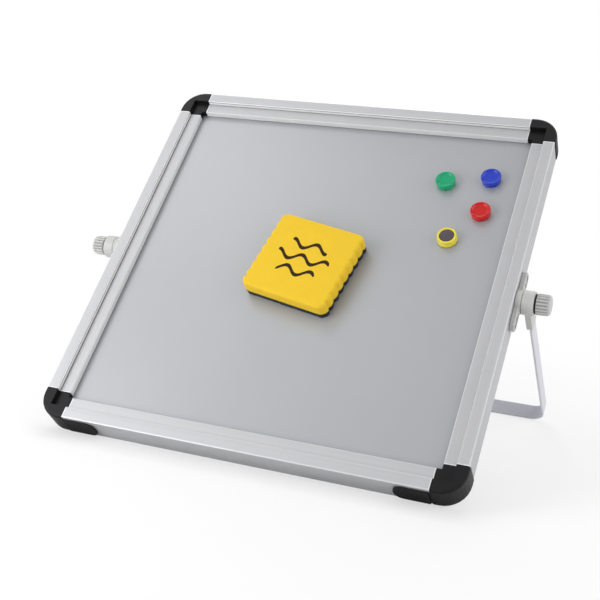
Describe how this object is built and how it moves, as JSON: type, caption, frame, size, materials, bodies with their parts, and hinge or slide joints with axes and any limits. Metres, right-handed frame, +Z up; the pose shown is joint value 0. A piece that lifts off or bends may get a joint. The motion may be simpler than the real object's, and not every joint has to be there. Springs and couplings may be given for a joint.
{
  "type": "desktop whiteboard easel",
  "caption": "Square desktop whiteboard with a silver frame and black corners, turning on side clamp knobs in a bent strip stand, with a felt eraser and round button magnets on it.",
  "frame": {"origin": "middle of the easel's footprint box, on the surface it stands on", "axes": "+Z up, +X along the hinge axis to the viewer's right, the board faces -Y"},
  "size_m": [0.2932, 0.198, 0.1945],
  "materials": {
    "aluminium": "satin anodised extrusion",
    "writing_sheet": "smooth glossy dry-wipe paint",
    "core_board": "plain fibreboard",
    "black_plastic": "satin moulded plastic",
    "black_rubber": "matt",
    "grey_plastic": "satin moulded plastic",
    "zinc": "zinc plate",
    "powder_coat": "light grey powder coat",
    "foam": "soft closed-cell foam",
    "felt": "black felt",
    "ferrite": "sintered ferrite",
    "green_plastic": "glossy moulded plastic",
    "blue_plastic": "glossy moulded plastic",
    "red_plastic": "glossy moulded plastic",
    "yellow_plastic": "glossy moulded plastic"
  },
  "bodies": {
    "stand": {"stand_strip": "powder_coat", "left_leg_socket": "grey_plastic", "right_leg_socket": "grey_plastic", "left_washer": "black_rubber", "right_washer": "black_rubber"},
    "board": {"front_sheet": "writing_sheet", "board_core": "core_board", "back_sheet": "writing_sheet", "top_rail": "aluminium", "bottom_rail": "aluminium", "left_rail": "aluminium", "right_rail": "aluminium", "top_left_cap": "black_plastic", "top_right_cap": "black_plastic", "bottom_left_cap": "black_plastic", "bottom_right_cap": "black_plastic", "left_foot_pad": "black_rubber", "right_foot_pad": "black_rubber", "left_bracket": "grey_plastic", "left_upper_screw": "zinc", "left_lower_screw": "zinc", "left_pivot_bolt": "zinc", "right_bracket": "grey_plastic", "right_upper_screw": "zinc", "right_lower_screw": "zinc", "right_pivot_bolt": "zinc"},
    "left_knob": {"left_knob": "grey_plastic"},
    "right_knob": {"right_knob": "grey_plastic"},
    "eraser": {"eraser_grip": "foam", "eraser_magnet": "ferrite", "eraser_felt": "felt"},
    "green_magnet": {"green_magnet_cap": "green_plastic", "green_magnet_disc": "ferrite"},
    "blue_magnet": {"blue_magnet_cap": "blue_plastic", "blue_magnet_disc": "ferrite"},
    "red_magnet": {"red_magnet_cap": "red_plastic", "red_magnet_disc": "ferrite"},
    "yellow_magnet": {"yellow_magnet_cap": "yellow_plastic", "yellow_magnet_disc": "ferrite"}
  },
  "joints": [
    {"name": "board_tilt", "type": "hinge", "parent": "stand", "child": "board", "pos_m": [0, -0.00631, 0.09609], "axis": [1, 0, 0], "continuous": true},
    {"name": "right_knob_turn", "type": "hinge", "parent": "board", "child": "right_knob", "pos_m": [0, -0.00631, 0.09609], "axis": [1, 0, 0], "range_deg": [0, 720]},
    {"name": "left_knob_turn", "type": "hinge", "parent": "board", "child": "left_knob", "pos_m": [0, -0.00631, 0.09609], "axis": [-1, 0, 0], "range_deg": [0, 720]},
    {"name": "eraser_lift", "type": "slide", "parent": "board", "child": "eraser", "axis": [0, -0.721, 0.6929], "range_m": [0, 0.03]},
    {"name": "green_magnet_lift", "type": "slide", "parent": "board", "child": "green_magnet", "axis": [0, -0.721, 0.6929], "range_m": [0, 0.02]},
    {"name": "blue_magnet_lift", "type": "slide", "parent": "board", "child": "blue_magnet", "axis": [0, -0.721, 0.6929], "range_m": [0, 0.02]},
    {"name": "red_magnet_lift", "type": "slide", "parent": "board", "child": "red_magnet", "axis": [0, -0.721, 0.6929], "range_m": [0, 0.02]},
    {"name": "yellow_magnet_lift", "type": "slide", "parent": "board", "child": "yellow_magnet", "axis": [0, -0.721, 0.6929], "range_m": [0, 0.02]}
  ]
}
